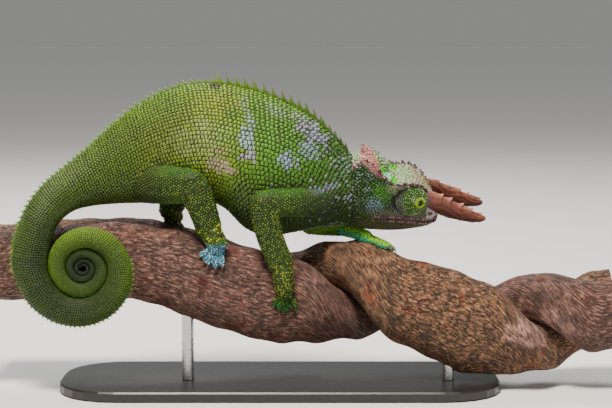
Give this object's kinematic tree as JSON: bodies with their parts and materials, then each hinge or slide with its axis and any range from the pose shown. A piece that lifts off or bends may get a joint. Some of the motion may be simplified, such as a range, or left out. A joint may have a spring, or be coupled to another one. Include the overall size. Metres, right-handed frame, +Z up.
{
  "type": "chameleon model on a branch",
  "caption": "Life-size horned chameleon with a raised casque and a coiled tail, gripping a twisted woody stem held over a flat base by short rods.",
  "frame": {"origin": "centre of the underside of the stand's base", "axes": "+Z up, the head points to +X, and the animal's left side faces +Y"},
  "size_m": [0.32, 0.078, 0.1565],
  "materials": {
    "skin": "green scaly skin",
    "casque": "pale green and pinkish scaly skin",
    "horn": "reddish brown horny scales",
    "eye_turret": "fine green granular skin",
    "bark": "rough brown bark",
    "base_lacquer": "black lacquer",
    "rod_steel": "satin"
  },
  "bodies": {
    "root": {"head": "casque", "eye_right": "eye_turret", "eye_left": "eye_turret", "horn_right": "horn", "horn_left": "horn", "neck": "skin", "torso": "skin", "tail_base": "skin", "tail_bend": "skin", "tail_loop": "skin", "tail_coil": "skin", "tail_tip": "skin", "front_right_upper_arm": "skin", "front_right_forearm": "skin", "front_right_hand": "skin", "front_left_upper_arm": "skin", "front_left_forearm": "skin", "front_left_hand": "skin", "hind_right_thigh": "skin", "hind_right_shank": "skin", "hind_right_foot": "skin", "hind_left_thigh": "skin", "hind_left_shank": "skin", "hind_left_foot": "skin", "perch_front_strand": "bark", "perch_back_strand": "bark", "stand_base": "base_lacquer", "stand_rod_1": "rod_steel", "stand_rod_2": "rod_steel"}
  },
  "joints": []
}
